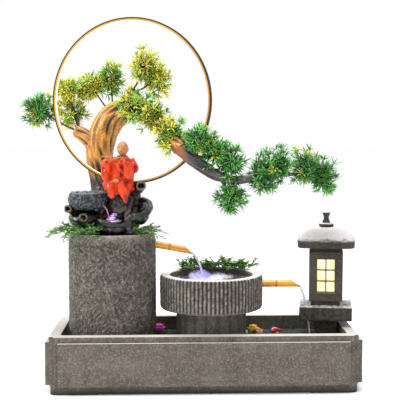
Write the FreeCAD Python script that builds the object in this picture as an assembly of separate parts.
import FreeCAD, Part
import math
import os

# Tabletop water fountain, in millimetres. +X right, +Y back, +Z up.
# The origin is the centre of the pond tray's underside, where the fountain rests.

V = FreeCAD.Vector

# ---- driving dimensions -------------------------------------------------
TRAY_LENGTH = 600.0
TRAY_DEPTH = 230.0
TRAY_HEIGHT = 110.0
TRAY_STEP_X = 8.7          # one corner step, along the length
TRAY_STEP_Y = 6.4          # one corner step, along the depth
TRAY_WALL_X = 19.5         # wall thickness at the ends, under the rim
TRAY_WALL_Y = 20.5         # wall thickness at the front and back, under the rim
TRAY_FLOOR = 14.0
PANEL_BOTTOM = 17.0
PANEL_TOP = 99.0
PLINTH_INSET = 9.0
FOOT_RELIEF = 2.0          # the plinth's skirt stops this far above the table between the feet

COLUMN_X = -179.0
COLUMN_R = 86.0
COLUMN_TOP = 298.0
COLUMN_WALL = 12.0
DECK_BOTTOM = 290.0
DECK_THICKNESS = 5.0

BASIN_X = 16.0
BASIN_R = 101.5
BASIN_BOTTOM = 146.0
BASIN_TOP = 213.0
BASIN_LIP = 21.0
BASIN_RIBS = 80
BASIN_FLOOR = 14.0
PEDESTAL_R = 70.0
PEDESTAL_FLUTES = 18

SPOUT_SLOPE = math.radians(10.0)
UPPER_SPOUT_EXIT_Z = 271.0   # height of its axis at the column's outer face
UPPER_SPOUT_TIP_X = -20.0
LOWER_SPOUT_Z = 192.0
LOWER_SPOUT_TIP_X = 193.0
SPOUT_R = 6.9
SPOUT_BORE = 5.2

LANTERN_X = 246.0
LANTERN_Y = 12.0
LANTERN_YAW = -9.0
LANTERN_BODY = 66.0
LANTERN_BODY_BOTTOM = 159.0
LANTERN_BODY_TOP = 264.0
LANTERN_WALL = 7.0
SLAB_BOTTOM = 122.0
SLAB_TOP = 149.0
WINDOW_WIDTH = 38.0
WINDOW_BOTTOM = 176.0
WINDOW_TOP = 244.0
EAVE_WIDTH = 112.0
EAVE_BOTTOM = 266.0
EAVE_TOP = 277.0
ROOF_TOP = 304.0
FINIAL_TOP = 333.0

RING_X = -139.0
RING_Y = -25.0
RING_Z = 551.0
RING_R = 158.5
RING_YAW = -15.0
RING_WIDTH = 10.0
RING_WALL = 3.2
RING_STRIP = 2.2

HOSE_X = -215.0
HOSE_Y = -20.0
HOSE_R = 5.0
PUMP_X = -198.0
PUMP_Y = HOSE_Y
PUMP_BOTTOM = 19.0

FIT_GAP = 0.3              # play between parts that sit in one another
RUNNING_GAP = 0.05         # radial play of a turning part on its shaft


# ---- small builders ------------------------------------------------------
def save(shape, node):
    shape.exportStep("parts/" + node + ".step")


def box(cx, cy, z0, lx, ly, lz):
    """A box centred on cx, cy that stands on z0."""
    return Part.makeBox(lx, ly, lz, V(cx - lx / 2, cy - ly / 2, z0))


def rod(r, start, end):
    """A straight round bar between two points."""
    along = end.sub(start)
    return Part.makeCylinder(r, along.Length, start, along)


def pipe(r, bore, start, end):
    """A straight round tube between two points."""
    reach = end.sub(start).normalize()
    return rod(r, start, end).cut(rod(bore, start.sub(reach), end.add(reach)))


def prism(points, z0, height):
    """A closed outline of (x, y) points, raised from z0."""
    wire = Part.makePolygon([V(x, y, z0) for x, y in points] + [V(points[0][0], points[0][1], z0)])
    return Part.Face(wire).extrude(V(0, 0, height))


def turned(profile, cx, cy):
    """An (r, z) outline turned about a vertical axis at cx, cy."""
    points = [V(cx + r, cy, z) for r, z in profile]
    wire = Part.makePolygon(points + [points[0]])
    return Part.Face(wire).revolve(V(cx, cy, 0), V(0, 0, 1), 360)


def ellipsoid(centre, rx, ry, rz):
    """A ball stretched to the three half sizes, as level twelve-sided rings with flat faces between them."""
    sides = 12
    outlines = []
    for latitude in (-78, -56, -34, -11, 11, 34, 56, 78):
        reach = math.cos(math.radians(latitude))
        ring = boulder_outline(centre[0], centre[1], rx * reach, ry * reach, 0.0, sides, 0.0)
        outlines.append((centre[2] + rz * math.sin(math.radians(latitude)), ring))
    return loft_outlines(outlines)


def limb(stations):
    """A tapering round limb through stations of (x, y, z, radius)."""
    points = [V(x, y, z) for x, y, z, r in stations]
    rings = []
    for i, (x, y, z, r) in enumerate(stations):
        ahead = points[min(i + 1, len(points) - 1)]
        behind = points[max(i - 1, 0)]
        rings.append(Part.Wire(Part.makeCircle(r, points[i], ahead.sub(behind))))
    return Part.makeLoft(rings, True, True)


def loft_outlines(outlines):
    """A solid through level outlines, each a height and its (x, y) points."""
    wires = []
    for z, points in outlines:
        corners = [V(x, y, z) for x, y in points]
        wires.append(Part.makePolygon(corners + [corners[0]]))
    return Part.makeLoft(wires, True, True)


def boulder_outline(cx, cy, rx, ry, phase, count=14, unevenness=0.07):
    """An uneven oval of count points; phase shifts where it bulges."""
    points = []
    for k in range(count):
        a = 2 * math.pi * k / count
        bulge = 1 + unevenness * math.sin(3 * a + phase) + unevenness * 0.6 * math.sin(5 * a + 2 * phase)
        points.append((cx + rx * bulge * math.cos(a), cy + ry * bulge * math.sin(a)))
    return points


def fluted_outline(cx, cy, r, depth, count, land):
    """A circle with count raised ribs; land is the share of each pitch that a rib's top takes."""
    points = []
    pitch = 2 * math.pi / count
    slope = (1 - land) * pitch * 0.25
    for k in range(count):
        middle = k * pitch
        half = land * pitch / 2
        for angle, radius in (
            (middle - half - slope, r - depth),
            (middle - half, r),
            (middle + half, r),
            (middle + half + slope, r - depth),
        ):
            points.append((cx + radius * math.cos(angle), cy + radius * math.sin(angle)))
    return points


def largest_piece(shape):
    """The biggest solid left after cuts."""
    return sorted(shape.Solids, key=lambda solid: solid.Volume)[-1]


def yawed(shape, degrees, cx, cy):
    """The shape turned about a vertical line at cx, cy."""
    return shape.rotate(V(cx, cy, 0), V(0, 0, 1), degrees)


# ---- pond tray -------------------------------------------------------------
GLAND_X = -245.0
GLAND_Z = 90.0
GLAND_R = 5.5
GLAND_BORE = 3.5


def make_pond_tray():
    """Panels and corner ribs are blocks of different reach, so the corners step in plan."""
    half_x = TRAY_LENGTH / 2
    half_y = TRAY_DEPTH / 2
    blocks = []
    for steps in range(4):
        reach_x = half_x - TRAY_STEP_X * (3 - steps)
        reach_y = half_y - TRAY_STEP_Y * steps
        top = TRAY_HEIGHT if steps in (1, 2) else PANEL_TOP
        blocks.append(box(0, 0, PANEL_BOTTOM, 2 * reach_x, 2 * reach_y, top - PANEL_BOTTOM))
    plinth = box(0, 0, 0, 2 * (half_x - PLINTH_INSET), 2 * (half_y - PLINTH_INSET), PANEL_BOTTOM + 1)
    uprights = [e for e in plinth.Edges if abs(e.Vertexes[0].Z - e.Vertexes[-1].Z) > PANEL_BOTTOM]
    plinth = plinth.makeFillet(14, uprights)
    tray = blocks[0].multiFuse(blocks[1:] + [plinth])
    rim_half_x = half_x - TRAY_STEP_X
    rim_half_y = half_y - TRAY_STEP_Y
    cavity = box(0, 0, TRAY_FLOOR, 2 * (rim_half_x - TRAY_WALL_X), 2 * (rim_half_y - TRAY_WALL_Y), TRAY_HEIGHT)
    inner_uprights = [e for e in cavity.Edges if abs(e.Vertexes[0].Z - e.Vertexes[-1].Z) > PANEL_TOP]
    tray = tray.cut(cavity.makeFillet(8, inner_uprights))
    skirt = 14.0
    foot_gap_x = 400.0
    foot_gap_y = 120.0
    for side in (-1, 1):
        tray = tray.cut(box(0, side * (half_y - PLINTH_INSET), 0, foot_gap_x, 2 * skirt, FOOT_RELIEF))
        tray = tray.cut(box(side * (half_x - PLINTH_INSET), 0, 0, 2 * skirt, foot_gap_y, FOOT_RELIEF))
    outlet = rod(GLAND_R + FIT_GAP, V(GLAND_X, 60, GLAND_Z), V(GLAND_X, 130, GLAND_Z))
    return tray.cut(outlet).removeSplitter()


def make_cable_gland():
    """A flanged bush through the back wall; the lead would run through its bore."""
    outer = TRAY_DEPTH / 2
    flange = pipe(7.5, GLAND_BORE, V(GLAND_X, outer, GLAND_Z), V(GLAND_X, outer + 3, GLAND_Z))
    barrel = pipe(GLAND_R, GLAND_BORE, V(GLAND_X, outer - 34, GLAND_Z), V(GLAND_X, outer, GLAND_Z))
    return flange.fuse(barrel).removeSplitter()


def make_gland_nut():
    inner_wall = TRAY_DEPTH / 2 - TRAY_STEP_Y - TRAY_WALL_Y
    points = []
    for k in range(6):
        a = math.pi / 3 * k
        points.append(V(GLAND_X + 8.5 * math.cos(a), inner_wall, GLAND_Z + 8.5 * math.sin(a)))
    hexagon = Part.Face(Part.makePolygon(points + [points[0]])).extrude(V(0, -4.5, 0))
    return hexagon.cut(rod(GLAND_R + RUNNING_GAP, V(GLAND_X, 60, GLAND_Z), V(GLAND_X, 130, GLAND_Z)))


# ---- planter column ---------------------------------------------------------
def spout_axis_point(x):
    """A point on the upper spout's sloping axis."""
    start_x = COLUMN_X + COLUMN_R
    return V(x, 0, UPPER_SPOUT_EXIT_Z - (x - start_x) * math.tan(SPOUT_SLOPE))


def make_planter_column():
    r = COLUMN_R
    inner = r - COLUMN_WALL
    profile = [
        (inner, TRAY_FLOOR), (r - 4, TRAY_FLOOR), (r - 3, TRAY_FLOOR + 30), (r, 120), (r, COLUMN_TOP - 14),
        (r - 2, COLUMN_TOP - 4), (r - 7, COLUMN_TOP), (inner + 3, COLUMN_TOP), (inner, COLUMN_TOP - 3),
        (inner, DECK_BOTTOM), (inner - 5, DECK_BOTTOM), (inner - 5, DECK_BOTTOM - 4), (inner, DECK_BOTTOM - 9),
    ]
    shell = turned(profile, COLUMN_X, 0)
    for side in (-1, 1):
        shell = shell.cut(box(COLUMN_X + side * 30, 60, TRAY_FLOOR, 22, 70, 16))
    hole = rod(SPOUT_R + 1.5 + FIT_GAP, spout_axis_point(-122), spout_axis_point(-80))
    return shell.cut(hole)


def make_column_deck():
    """The lid that carries the rockery, with holes for the hose and for the water running back."""
    deck = Part.makeCylinder(COLUMN_R - COLUMN_WALL - 1, DECK_THICKNESS, V(COLUMN_X, 0, DECK_BOTTOM))
    deck = deck.cut(Part.makeCylinder(HOSE_R + FIT_GAP, 20, V(HOSE_X, HOSE_Y, DECK_BOTTOM - 5)))
    for k in range(3):
        deck = deck.cut(Part.makeCylinder(3, 20, V(COLUMN_X - 12 + 12 * k, -62, DECK_BOTTOM - 5)))
    return deck


# ---- pump ---------------------------------------------------------------------
PUMP_LX = 62.0
PUMP_LY = 46.0
PUMP_LZ = 50.0
ROTOR_R = 15.0
ROTOR_Z = PUMP_BOTTOM + 25.0
ROTOR_FRONT = PUMP_Y - PUMP_LY / 2
SHAFT_R = 1.5
DIAL_Z = PUMP_BOTTOM + 40.0


def make_pump_housing():
    """A block with a rotor chamber open to the front, and an outlet spigot on top."""
    block = box(PUMP_X, PUMP_Y, PUMP_BOTTOM, PUMP_LX, PUMP_LY, PUMP_LZ)
    block = block.makeFillet(4, [e for e in block.Edges if abs(e.Vertexes[0].Z - e.Vertexes[-1].Z) > 10])
    chamber = rod(ROTOR_R + 1.5, V(PUMP_X, ROTOR_FRONT - 1, ROTOR_Z), V(PUMP_X, ROTOR_FRONT + 26, ROTOR_Z))
    shaft_hole = rod(SHAFT_R, V(PUMP_X, ROTOR_FRONT + 20, ROTOR_Z), V(PUMP_X, ROTOR_FRONT + 36, ROTOR_Z))
    spigot = pipe(HOSE_R + 1.5, HOSE_R + FIT_GAP, V(HOSE_X, HOSE_Y, PUMP_BOTTOM + PUMP_LZ), V(HOSE_X, HOSE_Y, 80))
    seat = rod(HOSE_R + FIT_GAP, V(HOSE_X, HOSE_Y, PUMP_BOTTOM + PUMP_LZ - 6), V(HOSE_X, HOSE_Y, 90))
    side = PUMP_X + PUMP_LX / 2
    dial_seat = rod(4 + RUNNING_GAP, V(side - 6, PUMP_Y, DIAL_Z), V(side + 1, PUMP_Y, DIAL_Z))
    return block.fuse(spigot).cut(chamber).cut(seat).cut(shaft_hole).cut(dial_seat)


def make_pump_cover():
    """A slotted cover in front of the rotor, which carries the shaft's front end."""
    cover = box(PUMP_X, ROTOR_FRONT - 3.5, PUMP_BOTTOM, PUMP_LX - 8, 7, PUMP_LZ)
    hollow = box(PUMP_X, ROTOR_FRONT - 1.5, PUMP_BOTTOM + 6, PUMP_LX - 20, 5, PUMP_LZ - 12)
    cover = cover.cut(hollow)
    for k in range(7):
        if k != 3:
            cover = cover.cut(box(PUMP_X - 18 + 6 * k, ROTOR_FRONT - 5, PUMP_BOTTOM + 10, 2.5, 8, PUMP_LZ - 20))
    boss = rod(4, V(PUMP_X, ROTOR_FRONT - 5, ROTOR_Z), V(PUMP_X, ROTOR_FRONT - 1, ROTOR_Z))
    cover = cover.fuse(boss)
    return cover.cut(rod(SHAFT_R, V(PUMP_X, ROTOR_FRONT - 4, ROTOR_Z), V(PUMP_X, ROTOR_FRONT + 4, ROTOR_Z)))


def make_pump_shaft():
    return rod(SHAFT_R, V(PUMP_X, ROTOR_FRONT - 4, ROTOR_Z), V(PUMP_X, ROTOR_FRONT + 36, ROTOR_Z))


def make_pump_impeller():
    """A magnet rotor with six blades in front, turning on the fixed shaft."""
    rotor = rod(ROTOR_R - 4, V(PUMP_X, ROTOR_FRONT + 8, ROTOR_Z), V(PUMP_X, ROTOR_FRONT + 24, ROTOR_Z))
    disc = rod(ROTOR_R, V(PUMP_X, ROTOR_FRONT + 6, ROTOR_Z), V(PUMP_X, ROTOR_FRONT + 8, ROTOR_Z))
    hub = rod(3.5, V(PUMP_X, ROTOR_FRONT, ROTOR_Z), V(PUMP_X, ROTOR_FRONT + 7, ROTOR_Z))
    blades = []
    for k in range(6):
        blade = Part.makeBox(ROTOR_R - 3, 5.5, 1.6, V(PUMP_X + 2.5, ROTOR_FRONT + 1, ROTOR_Z - 0.8))
        blades.append(blade.rotate(V(PUMP_X, 0, ROTOR_Z), V(0, 1, 0), 60 * k))
    whole = rotor.multiFuse([disc, hub] + blades)
    play = SHAFT_R + RUNNING_GAP
    return whole.cut(rod(play, V(PUMP_X, ROTOR_FRONT - 6, ROTOR_Z), V(PUMP_X, ROTOR_FRONT + 30, ROTOR_Z)))


def make_pump_flow_dial():
    """A small knob on the pump's side that throttles the flow."""
    side = PUMP_X + PUMP_LX / 2
    stem = rod(4, V(side - 5, PUMP_Y, DIAL_Z), V(side + 0.4, PUMP_Y, DIAL_Z))
    knob = rod(6.5, V(side + 0.4, PUMP_Y, DIAL_Z), V(side + 4, PUMP_Y, DIAL_Z))
    bar = Part.makeBox(3, 11, 2.4, V(side + 3.5, PUMP_Y - 5.5, DIAL_Z - 1.2))
    return stem.multiFuse([knob, bar])


def make_pump_suction_cups():
    cups = []
    height = PUMP_BOTTOM - TRAY_FLOOR
    for sx in (-1, 1):
        for sy in (-1, 1):
            profile = [(0, TRAY_FLOOR), (6.5, TRAY_FLOOR), (3, TRAY_FLOOR + height * 0.6), (3, PUMP_BOTTOM)]
            profile.append((0, PUMP_BOTTOM))
            cups.append(turned(profile, PUMP_X + sx * 22, PUMP_Y + sy * 15))
    return Part.makeCompound(cups)


# ---- hoses, tee and bamboo spouts -------------------------------------------------
TEE_Z = 279.0
TEE_R = 7.5
PORT_LENGTH = 14.0
SPOUT_TAIL_X = -128.0
SPILL_FLOOR = 354.0


def make_riser_hose():
    """A clear hose from the pump up to the tee, and on to the spill bowl."""
    lower = pipe(HOSE_R, 3.5, V(HOSE_X, HOSE_Y, PUMP_BOTTOM + PUMP_LZ - 6), V(HOSE_X, HOSE_Y, TEE_Z - 8))
    upper = pipe(HOSE_R, 3.5, V(HOSE_X, HOSE_Y, TEE_Z + 8), V(HOSE_X, HOSE_Y, SPILL_FLOOR))
    return Part.makeCompound([lower, upper])


def spout_corner():
    """Where the level of the tee's port meets the sloping line of the spout."""
    drop = TEE_Z - UPPER_SPOUT_EXIT_Z
    return V(COLUMN_X + COLUMN_R - drop / math.tan(SPOUT_SLOPE), 0, TEE_Z)


def port_direction():
    """The tee's side port points level at the spout's corner."""
    return spout_corner().sub(V(HOSE_X, HOSE_Y, TEE_Z)).normalize()


def make_hose_tee():
    """A tee between the two lengths of riser, with a side port towards the spout."""
    centre = V(HOSE_X, HOSE_Y, TEE_Z)
    port_end = centre.add(port_direction() * PORT_LENGTH)
    body = rod(TEE_R, centre.sub(V(0, 0, 8)), centre.add(V(0, 0, 8))).fuse(rod(4.5, centre, port_end))
    body = body.cut(rod(3, centre.sub(V(0, 0, 9)), centre.add(V(0, 0, 9))))
    return body.cut(rod(2.6, centre, port_end.add(port_direction())))


def make_spout_hose():
    """A short hose that bends once, down into the line of the sloping spout."""
    start = V(HOSE_X, HOSE_Y, TEE_Z).add(port_direction() * PORT_LENGTH)
    corner = spout_corner()
    after = spout_axis_point(SPOUT_TAIL_X)
    tail = after.sub(corner).Length
    before = corner.sub(port_direction() * tail)
    half_turn = port_direction().getAngle(after.sub(corner)) / 2
    radius = tail / math.tan(half_turn)
    inward = before.add(after) * 0.5 - corner
    middle = corner + inward.normalize() * (radius / math.cos(half_turn) - radius)
    path = Part.Wire([Part.LineSegment(start, before).toShape(), Part.Arc(before, middle, after).toShape()])
    outer = Part.Wire(Part.makeCircle(4.5, start, port_direction()))
    bore = Part.Wire(Part.makeCircle(2.6, start, port_direction()))
    return path.makePipeShell([outer], True, True).cut(path.makePipeShell([bore], True, True))


def make_upper_spout():
    """A length of bamboo with a node ring and a slanting cut at its tip."""
    start = spout_axis_point(SPOUT_TAIL_X)
    end = spout_axis_point(UPPER_SPOUT_TIP_X)
    along = end.sub(start).normalize()
    cane = pipe(SPOUT_R, SPOUT_BORE, start, end)
    node = spout_axis_point(-65)
    ring = pipe(SPOUT_R + 0.5, SPOUT_BORE, node.sub(along * 1.2), node.add(along * 1.2))
    cane = cane.fuse(ring)
    knife = Part.makeBox(60, 60, 60, V(0, -30, 0))
    knife.rotate(V(0, 0, 0), V(0, 1, 0), 35 + math.degrees(SPOUT_SLOPE))
    low_side = end.sub(V(math.sin(SPOUT_SLOPE), 0, math.cos(SPOUT_SLOPE)) * SPOUT_R)
    knife.translate(low_side)
    return cane.cut(knife)


def make_lower_spout():
    start = V(BASIN_X + BASIN_R - BASIN_LIP - 4, 0, LOWER_SPOUT_Z)
    end = V(LOWER_SPOUT_TIP_X, 0, LOWER_SPOUT_Z)
    cane = pipe(SPOUT_R, SPOUT_BORE, start, end)
    ring = pipe(SPOUT_R + 0.5, SPOUT_BORE, V(143.5, 0, LOWER_SPOUT_Z), V(146, 0, LOWER_SPOUT_Z))
    cane = cane.fuse(ring)
    knife = Part.makeBox(60, 60, 60, V(0, -30, 0))
    knife.rotate(V(0, 0, 0), V(0, 1, 0), 33)
    knife.translate(V(end.x, 0, LOWER_SPOUT_Z - SPOUT_R))
    return cane.cut(knife)


def make_spout_seals():
    """Rubber sleeves where each spout passes through its wall."""
    upper = pipe(SPOUT_R + 1.5, SPOUT_R, spout_axis_point(-106), spout_axis_point(-95))
    z = LOWER_SPOUT_Z
    x = BASIN_X + BASIN_R
    lower = pipe(SPOUT_R + 1.5, SPOUT_R, V(x - BASIN_LIP - 2, 0, z), V(x - 3, 0, z))
    return Part.makeCompound([upper, lower])


# ---- basin ---------------------------------------------------------------------
def make_basin_bowl():
    """A ribbed drum with a rounded lower edge, hollowed from above."""
    drum = prism(fluted_outline(BASIN_X, 0, BASIN_R, 2.6, BASIN_RIBS, 0.5), BASIN_BOTTOM, BASIN_TOP - BASIN_BOTTOM)
    r = BASIN_R
    envelope = turned(
        [(0, BASIN_BOTTOM), (r - 22, BASIN_BOTTOM), (r - 6, BASIN_BOTTOM + 6), (r - 1, BASIN_BOTTOM + 15),
         (r + 1, BASIN_BOTTOM + 24), (r + 1, BASIN_TOP - 2), (r - 3, BASIN_TOP), (0, BASIN_TOP)], BASIN_X, 0)
    drum = drum.common(envelope)
    inner = BASIN_R - BASIN_LIP
    floor = BASIN_BOTTOM + BASIN_FLOOR
    hollow = turned(
        [(0, floor), (inner - 12, floor), (inner - 2, floor + 10), (inner, BASIN_TOP + 1), (0, BASIN_TOP + 1)],
        BASIN_X, 0)
    drum = drum.cut(hollow)
    z = LOWER_SPOUT_Z
    return drum.cut(rod(SPOUT_R + 1.5 + FIT_GAP, V(BASIN_X + 60, 0, z), V(BASIN_X + BASIN_R + 5, 0, z)))


def make_basin_pedestal():
    outline = []
    pitch = 2 * math.pi / PEDESTAL_FLUTES
    for k in range(PEDESTAL_FLUTES):
        for share, sink in ((0.0, 5.0), (0.12, 1.6), (0.3, 0.3), (0.5, 0.0), (0.7, 0.3), (0.88, 1.6)):
            a = (k + share) * pitch
            outline.append((BASIN_X + (PEDESTAL_R - sink) * math.cos(a), (PEDESTAL_R - sink) * math.sin(a)))
    drum = prism(outline, TRAY_FLOOR, BASIN_BOTTOM - TRAY_FLOOR)
    hollow = Part.makeCylinder(PEDESTAL_R - 18, BASIN_BOTTOM - TRAY_FLOOR, V(BASIN_X, 0, TRAY_FLOOR))
    return drum.cut(hollow)


# ---- mist maker ------------------------------------------------------------------
MIST_X = 2.0
MIST_Y = -8.0
MIST_BOTTOM = BASIN_BOTTOM + BASIN_FLOOR
MIST_R = 22.0
MIST_TOP = MIST_BOTTOM + 22


def make_mist_body():
    puck = Part.makeCylinder(MIST_R, MIST_TOP - MIST_BOTTOM, V(MIST_X, MIST_Y, MIST_BOTTOM))
    top_edges = [e for e in puck.Edges if e.Closed and e.BoundBox.ZMin > MIST_TOP - 1]
    puck = puck.makeFillet(3, top_edges)
    puck = puck.cut(Part.makeCylinder(10.2, 8, V(MIST_X, MIST_Y, MIST_TOP - 6)))
    for k in range(12):
        a = math.pi / 6 * k
        x, y = MIST_X + 16 * math.cos(a), MIST_Y + 16 * math.sin(a)
        puck = puck.cut(Part.makeCylinder(1.9, 3, V(x, y, MIST_TOP - 1.5)))
    return puck


def make_mist_disc():
    """The thin ceramic disc whose ringing throws up the mist."""
    return Part.makeCylinder(10, 1.2, V(MIST_X, MIST_Y, MIST_TOP - 6))


def make_mist_clamp_ring():
    base = V(MIST_X, MIST_Y, MIST_TOP - 4.8)
    return Part.makeCylinder(10, 4, base).cut(Part.makeCylinder(7, 4, base))


def make_mist_lights():
    """Twelve coloured lights let into the top of the puck."""
    lights = []
    for k in range(12):
        a = math.pi / 6 * k
        x, y = MIST_X + 16 * math.cos(a), MIST_Y + 16 * math.sin(a)
        lights.append(Part.makeCylinder(1.7, 2.6, V(x, y, MIST_TOP - 1.5)))
    return Part.makeCompound(lights)


# ---- rockery -----------------------------------------------------------------------
ROCK_BOTTOM = DECK_BOTTOM + DECK_THICKNESS
SPILL_X = -226.0
SPILL_Y = -37.0
POOL_X = -174.0
POOL_Y = -48.0
POOL_TOP = 327.0


def make_rockery_base():
    """A dark mound that widens over the column's rim, with a stump behind the seat."""
    mound = loft_outlines([
        (ROCK_BOTTOM, boulder_outline(-182, 8, 58, 50, 0.4)),
        (306, boulder_outline(-184, 8, 66, 54, 0.8)),
        (322, boulder_outline(-192, 6, 72, 56, 1.2)),
        (340, boulder_outline(-192, 8, 68, 50, 1.7)),
        (344, boulder_outline(-190, 10, 62, 44, 2.0)),
    ])
    stump = loft_outlines([
        (338, boulder_outline(-168, 2, 38, 40, 0.2)),
        (356, boulder_outline(-166, 2, 33, 38, 0.9)),
        (376, boulder_outline(-166, 2, 35, 36, 1.5)),
        (386, boulder_outline(-166, 4, 36, 34, 1.9)),
    ])
    seat = loft_outlines([
        (330, boulder_outline(-160, -36, 24, 22, 0.5)),
        (362, boulder_outline(-159, -40, 22, 18, 1.0)),
        (389, boulder_outline(-158, -44, 22, 15, 1.3)),
    ])
    rock = mound.fuse(stump).fuse(seat)
    rock = rock.cut(Part.makeCylinder(HOSE_R + FIT_GAP, 80, V(HOSE_X, HOSE_Y, ROCK_BOTTOM - 5)))
    rock = rock.cut(spill_bowl_outside(0.4))
    rock = rock.cut(Part.makeCylinder(30.5, 60, V(POOL_X, POOL_Y, ROCK_BOTTOM - 1)))
    rock = rock.cut(trunk_foot())
    groove = ring_sector(RING_R + 1.0, RING_R - 12, RING_WIDTH + 1.0)
    rock = rock.cut(groove)
    rock = rock.cut(ring_socket_block(FIT_GAP))
    return largest_piece(rock)


def spill_bowl_outside(grow):
    """The bowl's outer shape, enlarged by grow for the bed that it sits in."""
    g = grow
    return turned(
        [(0, 346 - g), (26 + g, 346 - g), (36 + g, 356), (38 + g, 368), (34 + g, 377), (0, 377)],
        SPILL_X, SPILL_Y)


def make_spill_bowl():
    hollow = turned([(0, SPILL_FLOOR), (24, SPILL_FLOOR), (29, 362), (28, 378), (0, 378)], SPILL_X, SPILL_Y)
    bowl = spill_bowl_outside(0).cut(hollow)
    lip = box(SPILL_X + 30, SPILL_Y - 16, 370, 26, 12, 10)
    return bowl.cut(lip).cut(Part.makeCylinder(HOSE_R + FIT_GAP, 30, V(HOSE_X, HOSE_Y, 340)))


def hollow_log(start, end, r):
    """A short hollow log, bored from its cut end."""
    reach = end.sub(start).normalize()
    bore = rod(r * 0.6, end.sub(reach * 14), end.add(reach))
    return rod(r, start, end).cut(bore)


def make_rock_log_ends(rock):
    """Three cut log ends that stand out of the mound, one of them beside the seat."""
    logs = [
        hollow_log(V(-244, -14, 338), V(-262, -52, 344), 9.0),
        hollow_log(V(-226, -20, 330), V(-229, -64, 334), 9.5),
        hollow_log(V(-126, -20, 380), V(-124, -58, 384), 10.5),
    ]
    return [largest_piece(log.cut(rock).cut(ring_socket_block(FIT_GAP)).cut(spill_bowl_outside(FIT_GAP)))
            for log in logs]


def make_rock_shelf(rock):
    """A shell-like shelf of rock that leans out to the right."""
    shelf = loft_outlines([
        (ROCK_BOTTOM + 12, boulder_outline(-136, -18, 13, 16, 0.3)),
        (326, boulder_outline(-130, -20, 20, 22, 0.9)),
        (346, boulder_outline(-126, -20, 21, 24, 1.4)),
        (356, boulder_outline(-128, -18, 15, 19, 2.0)),
    ])
    return largest_piece(shelf.cut(rock).cut(ring_socket_block(FIT_GAP)))


def make_front_pool():
    """The small bowl of rock in front, where the trickle lands."""
    outside = turned(
        [(0, ROCK_BOTTOM), (22, ROCK_BOTTOM), (29, 308), (30, 320), (26, POOL_TOP), (0, POOL_TOP)],
        POOL_X, POOL_Y)
    hollow = turned([(0, 312), (15, 312), (20, 318), (20, POOL_TOP + 1), (0, POOL_TOP + 1)], POOL_X, POOL_Y)
    inside_rim = Part.makeCylinder(COLUMN_R - COLUMN_WALL - 0.5, 60, V(COLUMN_X, 0, ROCK_BOTTOM - 1))
    return outside.cut(hollow).common(inside_rim)


# ---- ring lamp ------------------------------------------------------------------------
def ring_sector(outer, inner, width):
    """A flat hoop standing upright, turned to the ring lamp's direction."""
    centre = V(RING_X, RING_Y, RING_Z)
    hoop = rod(outer, centre.sub(V(0, width / 2, 0)), centre.add(V(0, width / 2, 0)))
    hoop = hoop.cut(rod(inner, centre.sub(V(0, width, 0)), centre.add(V(0, width, 0))))
    return yawed(hoop, RING_YAW, RING_X, RING_Y)


def make_ring_channel():
    """The dark metal channel: an outer wall with two low side lips."""
    wall = ring_sector(RING_R, RING_R - RING_WALL, RING_WIDTH)
    lips = ring_sector(RING_R - RING_WALL, RING_R - RING_WALL - RING_STRIP, RING_WIDTH)
    lips = lips.cut(ring_sector(RING_R, RING_R - 20, RING_WIDTH - 2.4))
    return wall.fuse(lips).removeSplitter()


def make_ring_light_strip():
    return ring_sector(RING_R - RING_WALL - 0.1, RING_R - RING_WALL - RING_STRIP, RING_WIDTH - 2.6)


def ring_socket_block(grow):
    """A square socket under the ring's lowest point."""
    block = box(RING_X, RING_Y, 352 - grow, 18 + 2 * grow, 12 + 2 * grow, 44)
    return yawed(block, RING_YAW, RING_X, RING_Y)


def make_ring_socket():
    return ring_socket_block(0).cut(ring_sector(RING_R + 0.1, RING_R - 60, RING_WIDTH + 0.2))


# ---- bonsai ---------------------------------------------------------------------------
TRUNK = [
    (-186, 31, 352, 31), (-192, 32, 378, 29), (-200, 33, 405, 26), (-205, 33, 440, 25), (-204, 33, 468, 27),
    (-194, 31, 498, 27), (-177, 27, 522, 26), (-152, 20, 536, 22), (-126, 9, 533, 18), (-102, -8, 522, 16),
    (-78, -34, 501, 15), (-58, -60, 477, 14), (-42, -76, 459, 13.5),
]
BRANCH = [
    (-42, -76, 459, 13.5), (-28, -84, 446, 13), (-4, -89, 427, 12), (22, -90, 411, 10), (52, -87, 402, 8),
    (92, -76, 404, 7), (122, -66, 408, 5.5), (186, -46, 412, 3.6), (246, -26, 414, 2.6),
]


def trunk_foot():
    """The trunk's buried foot, which sits in the stump."""
    return limb(TRUNK[:3])


def make_bonsai_trunk():
    trunk = limb(TRUNK)
    stub = limb([(-212, 33, 470, 16), (-232, 33, 484, 13), (-250, 33, 493, 11)])
    crown = limb([(-160, 24, 540, 14), (-146, 22, 556, 9), (-139, 20, 572, 6)])
    return trunk.fuse(stub).fuse(crown)


def make_bonsai_branch(trunk):
    """The thin branch, which meets the trunk's cut end."""
    twig = limb([(30, -86, 408, 4), (36, -92, 394, 3), (46, -98, 376, 2)])
    return limb(BRANCH).fuse(twig).cut(trunk)


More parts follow.
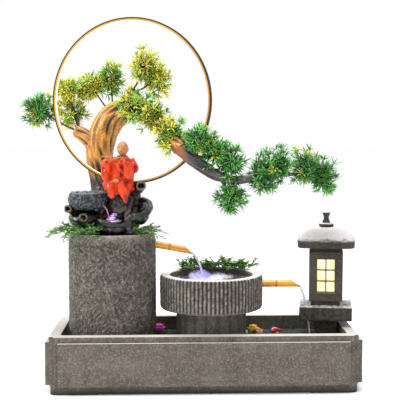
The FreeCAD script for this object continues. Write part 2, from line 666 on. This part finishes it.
# name, twig start, pads as (x, y, z, half sizes)
FOLIAGE = {
    "foliage_left_outer": ((-228, 33, 486), [(-332, 62, 540, 34, 26, 46)]),
    "foliage_left_inner": ((-240, 33, 490), [(-264, 68, 548, 30, 26, 52)]),
    "foliage_middle": ((-176, 27, 524), [(-205, 64, 600, 44, 26, 44)]),
    "foliage_top": ((-141, 20, 568), [(-104, 28, 622, 38, 28, 46)]),
    "foliage_bend": ((-114, 0, 528), [
        (-130, -14, 540, 30, 24, 26), (-90, -24, 516, 28, 22, 26), (-62, -62, 484, 24, 20, 26)]),
    "foliage_crossing": ((-20, -84, 442), [(-5, -94, 468, 27, 21, 26)]),
    "foliage_centre": ((34, -88, 408), [(48, -88, 434, 25, 22, 36), (50, -102, 370, 26, 20, 24)]),
    "foliage_right": ((106, -71, 406), [(126, -68, 416, 38, 28, 46)]),
    "foliage_tip": ((200, -42, 412), [(213, -38, 416, 44, 30, 46)]),
}


def make_foliage(start, pads, neighbours):
    """Each cluster is a soft pad on a thin twig, shaped round the wood and the clusters beside it."""
    root = V(*start)
    clumps = []
    for x, y, z, rx, ry, rz in pads:
        clumps += [ellipsoid((x, y, z), rx, ry, rz), rod(2.0, root, V(x, y, z))]
    whole = clumps[0].multiFuse(clumps[1:])
    for neighbour in neighbours:
        whole = whole.cut(neighbour)
    return Part.makeCompound([solid for solid in whole.Solids if solid.Volume > 100])


# ---- seated figure -----------------------------------------------------------------------
FIGURE_Y = -48.0


def oval(cx, cy, rx, ry):
    return boulder_outline(cx, cy, rx, ry, 0.0, count=16, unevenness=0.0)


def make_monk_robe(rock):
    """A seated robe: torso, lap and two hanging tails in front of the seat."""
    y = FIGURE_Y
    torso = loft_outlines([
        (390, oval(-165, y, 29, 15)), (404, oval(-165, y, 27, 14)), (420, oval(-165, y, 23, 12)),
        (438, oval(-165, y + 1, 25, 11)), (446, oval(-163, y + 2, 17, 8)),
    ])
    lap = loft_outlines([
        (376, oval(-164, y - 16, 26, 11)), (384, oval(-164, y - 14, 31, 15)), (396, oval(-164, y - 10, 29, 14)),
    ])
    tail_left = limb([(-177, y - 19, 388, 11), (-174, y - 20, 370, 5)])
    tail_right = limb([(-154, y - 19, 388, 12), (-152, y - 20, 356, 6)])
    robe = torso.multiFuse([lap, tail_left, tail_right])
    return largest_piece(robe.cut(ring_sector(RING_R + 0.5, RING_R - 12, RING_WIDTH + 0.6)).cut(rock))


def make_monk_head(robe):
    """The head on a short neck that enters the collar."""
    skull = ellipsoid((-157, FIGURE_Y - 1, 460), 11.5, 12.5, 14.5)
    neck = rod(5.5, V(-160, FIGURE_Y, 444), V(-158, FIGURE_Y, 454))
    return skull.fuse(neck).cut(robe)


def make_monk_flute():
    start = V(-196, FIGURE_Y - 20, 445.5)
    end = V(-146, FIGURE_Y - 17, 442)
    return pipe(1.6, 0.7, start, end)


def make_monk_hands(robe, flute):
    """Two loose fists on the flute."""
    hands = []
    for x, z in ((-182, 441.5), (-164, 440)):
        fist = ellipsoid((x, FIGURE_Y - 15.5, z), 5, 5, 4.5)
        hands.append(fist.cut(robe).cut(flute).Solids[0])
    return Part.makeCompound(hands)


# ---- plants on the stone -------------------------------------------------------------------
def make_moss(cx, cy, cz, rx, ry, rz, neighbours):
    """A low cushion of plants, shaped round the stones that it grows between."""
    cushion = ellipsoid((cx, cy, cz), rx, ry, rz)
    for neighbour in neighbours:
        cushion = cushion.cut(neighbour)
    return largest_piece(cushion)


def make_basin_plant(bowl):
    clumps = []
    for k in range(5):
        a = math.radians(128 - 22 * k)
        x, y = BASIN_X + 88 * math.cos(a), 88 * math.sin(a)
        clumps.append(ellipsoid((x, y, BASIN_TOP + 12), 23, 17, 19 if k != 2 else 24))
    whole = clumps[0].multiFuse(clumps[1:])
    above = box(BASIN_X, 0, BASIN_TOP + FIT_GAP, 400, 400, 100)
    return whole.common(above)


# ---- lantern -----------------------------------------------------------------------------------
def lantern(shape):
    """Lantern parts are drawn square on the origin, then placed and turned together."""
    shape.rotate(V(0, 0, 0), V(0, 0, 1), LANTERN_YAW)
    shape.translate(V(LANTERN_X, LANTERN_Y, 0))
    return shape


def square(half):
    return [(-half, -half), (half, -half), (half, half), (-half, half)]


def make_lantern_pedestal():
    return lantern(loft_outlines([(TRAY_FLOOR, square(22)), (SLAB_BOTTOM, square(21))]))


def make_lantern_slab():
    slab = box(0, 0, SLAB_BOTTOM, 103, 90, SLAB_TOP - SLAB_BOTTOM)
    slab = slab.makeFillet(1.6, slab.Edges)
    foot = box(0, 0, SLAB_TOP, 56, 56, LANTERN_BODY_BOTTOM - SLAB_TOP)
    return lantern(slab.fuse(foot))


def make_lantern_body():
    """A square shell with a window in each side and a recessed neck under the roof."""
    neck_bottom = LANTERN_BODY_TOP - 7
    body = box(0, 0, LANTERN_BODY_BOTTOM, LANTERN_BODY, LANTERN_BODY, neck_bottom - LANTERN_BODY_BOTTOM)
    body = body.makeFillet(1.5, [e for e in body.Edges if abs(e.Vertexes[0].Z - e.Vertexes[-1].Z) > 50])
    body = body.fuse(box(0, 0, neck_bottom, LANTERN_BODY - 5, LANTERN_BODY - 5, 7))
    inner = LANTERN_BODY - 2 * LANTERN_WALL
    body = body.cut(box(0, 0, LANTERN_BODY_BOTTOM + 6, inner, inner, 200))
    height = WINDOW_TOP - WINDOW_BOTTOM
    body = body.cut(box(0, 0, WINDOW_BOTTOM, WINDOW_WIDTH, LANTERN_BODY + 10, height))
    body = body.cut(box(0, 0, WINDOW_BOTTOM, LANTERN_BODY + 10, WINDOW_WIDTH, height))
    return lantern(body)


def on_four_sides(piece):
    """Four copies of a front piece, one for each side of the lantern."""
    copies = []
    for k in range(4):
        copy = piece.copy()
        copies.append(lantern(copy.rotate(V(0, 0, 0), V(0, 0, 1), 90 * k)))
    return Part.makeCompound(copies)


def make_lantern_grilles():
    """A frame with one upright and two cross bars, let into each window."""
    height = WINDOW_TOP - WINDOW_BOTTOM
    face = -LANTERN_BODY / 2 + 3
    frame = box(0, face, WINDOW_BOTTOM, WINDOW_WIDTH, 3, height)
    bar = 2.0
    pane_w = (WINDOW_WIDTH - 3 * bar) / 2
    pane_h = (height - 4 * bar) / 3
    for column in range(2):
        for row in range(3):
            x = -WINDOW_WIDTH / 2 + bar + pane_w / 2 + column * (pane_w + bar)
            z = WINDOW_BOTTOM + bar + row * (pane_h + bar)
            frame = frame.cut(box(x, face, z, pane_w, 10, pane_h))
    return on_four_sides(frame)


def make_lantern_panes():
    """A frosted pane behind each grille, held in the window's reveal."""
    height = WINDOW_TOP - WINDOW_BOTTOM
    return on_four_sides(box(0, -LANTERN_BODY / 2 + 5.5, WINDOW_BOTTOM, WINDOW_WIDTH, 2, height))


def make_lantern_light():
    """A lamp module on the lantern's floor."""
    base = Part.makeCylinder(13, 6, V(0, 0, LANTERN_BODY_BOTTOM + 6))
    tube = Part.makeCylinder(7, 50, V(0, 0, LANTERN_BODY_BOTTOM + 12))
    return lantern(base.fuse(tube))


def make_lantern_roof():
    """A square eave under a swelling hipped roof, with a boss that drops into the body."""
    half = EAVE_WIDTH / 2
    eave = loft_outlines([(EAVE_BOTTOM, square(half - 2)), (EAVE_TOP, square(half))])
    levels = 6
    rise = ROOF_TOP - EAVE_TOP
    tip = 15.0
    outlines = []
    for k in range(levels + 1):
        share = k / levels
        reach = tip + (half - 1 - tip) * math.sqrt(1 - share ** 2.0)
        outlines.append((EAVE_TOP - 0.5 + (rise + 0.5) * share, square(reach)))
    roof = eave.fuse(loft_outlines(outlines))
    inner = LANTERN_BODY - 2 * LANTERN_WALL - 1.0
    seat = box(0, 0, LANTERN_BODY_TOP + 0.02, LANTERN_BODY - 8, LANTERN_BODY - 8, 4)
    boss = box(0, 0, LANTERN_BODY_TOP - 6, inner, inner, 10)
    boss = boss.cut(box(0, 0, LANTERN_BODY_TOP - 8, inner - 8, inner - 8, 9))
    return lantern(roof.fuse(seat).fuse(boss))


def make_lantern_finial():
    base = ROOF_TOP
    profile = [
        (0, base), (13, base), (14.5, base + 2), (14.5, base + 6), (8, base + 8), (7, base + 12), (5, base + 15),
        (5, base + 20), (8, FINIAL_TOP - 1), (7.5, FINIAL_TOP), (0, FINIAL_TOP),
    ]
    return lantern(turned(profile, 0, 0))


# ---- floating ornaments ---------------------------------------------------------------------------
WATER_Z = 82.0
LOTUS_PINK = (-89.0, 50.0)
LOTUS_YELLOW = (103.0, 46.0)


def make_lotus(cx, cy, r, height):
    """A floating flower: a flat float with a cup of petals."""
    profile = [(0, WATER_Z - 3), (r * 0.8, WATER_Z - 3), (r, WATER_Z), (r * 0.9, WATER_Z + height * 0.6)]
    profile += [(r * 0.55, WATER_Z + height), (0, WATER_Z + height * 0.7)]
    return turned(profile, cx, cy)


def make_pond_floats():
    """Two small fish on thin rods from the pond floor, and one pale round float on its rod."""
    floats = []
    for x, y, rx, rz in ((110, 26, 8, 6), (148, 28, 16, 6.5), (88, 28, 7, 4)):
        body = ellipsoid((x, y, WATER_Z + 3), rx, 5, rz)
        floats.append(body.fuse(rod(1.2, V(x, y, TRAY_FLOOR), V(x, y, WATER_Z + 1))))
    return Part.makeCompound(floats)


# ---- build ------------------------------------------------------------------------------------------
def main():
    os.makedirs("parts", exist_ok=True)
    save(make_pond_tray(), "pond_tray")
    save(make_cable_gland(), "cable_gland")
    save(make_gland_nut(), "gland_nut")
    column = make_planter_column()
    save(column, "planter_column")
    deck = make_column_deck()
    save(deck, "column_deck")
    save(make_pump_housing(), "pump_housing")
    save(make_pump_cover(), "pump_cover")
    save(make_pump_shaft(), "pump_shaft")
    save(make_pump_impeller(), "pump_impeller")
    save(make_pump_flow_dial(), "pump_flow_dial")
    save(make_pump_suction_cups(), "pump_suction_cups")
    save(make_riser_hose(), "riser_hose")
    save(make_hose_tee(), "hose_tee")
    save(make_spout_hose(), "spout_hose")
    save(make_upper_spout(), "upper_spout")
    save(make_lower_spout(), "lower_spout")
    save(make_spout_seals(), "spout_seals")
    bowl = make_basin_bowl()
    save(bowl, "basin_bowl")
    save(make_basin_pedestal(), "basin_pedestal")
    save(make_mist_body(), "mist_body")
    save(make_mist_disc(), "mist_disc")
    save(make_mist_clamp_ring(), "mist_clamp_ring")
    save(make_mist_lights(), "mist_lights")

    rock = make_rockery_base()
    save(rock, "rockery_base")
    save(make_spill_bowl(), "spill_bowl")
    logs = make_rock_log_ends(rock)
    shelf = make_rock_shelf(rock)
    save(Part.makeCompound(logs), "rock_log_ends")
    save(shelf, "rock_shelf")
    pool = make_front_pool()
    save(pool, "front_pool")

    save(make_ring_channel(), "ring_channel")
    save(make_ring_light_strip(), "ring_light_strip")
    save(make_ring_socket(), "ring_socket")

    trunk = make_bonsai_trunk()
    branch = make_bonsai_branch(trunk)
    save(trunk, "bonsai_trunk")
    save(branch, "bonsai_branch")
    grown = [trunk, branch]
    for node, (start, pads) in FOLIAGE.items():
        cluster = make_foliage(start, pads, grown)
        grown.append(cluster)
        save(cluster, node)

    robe = make_monk_robe(rock)
    save(robe, "monk_robe")
    save(make_monk_head(robe), "monk_head")
    flute = make_monk_flute()
    save(flute, "monk_flute")
    save(make_monk_hands(robe, flute), "monk_hands")

    stones = [column, deck, rock, pool, shelf] + logs
    save(make_moss(-240, -34, 306, 48, 34, 22, stones), "moss_left")
    save(make_moss(-122, -34, 304, 26, 30, 20, stones), "moss_right")
    save(make_basin_plant(bowl), "basin_plant")

    save(make_lantern_pedestal(), "lantern_pedestal")
    save(make_lantern_slab(), "lantern_slab")
    save(make_lantern_body(), "lantern_body")
    save(make_lantern_grilles(), "lantern_grilles")
    save(make_lantern_panes(), "lantern_panes")
    save(make_lantern_light(), "lantern_light")
    save(make_lantern_roof(), "lantern_roof")
    save(make_lantern_finial(), "lantern_finial")

    save(make_lotus(LOTUS_PINK[0], LOTUS_PINK[1], 15, 17), "lotus_pink")
    save(make_lotus(LOTUS_YELLOW[0], LOTUS_YELLOW[1], 13.5, 18), "lotus_yellow")
    save(make_pond_floats(), "pond_floats")


main()
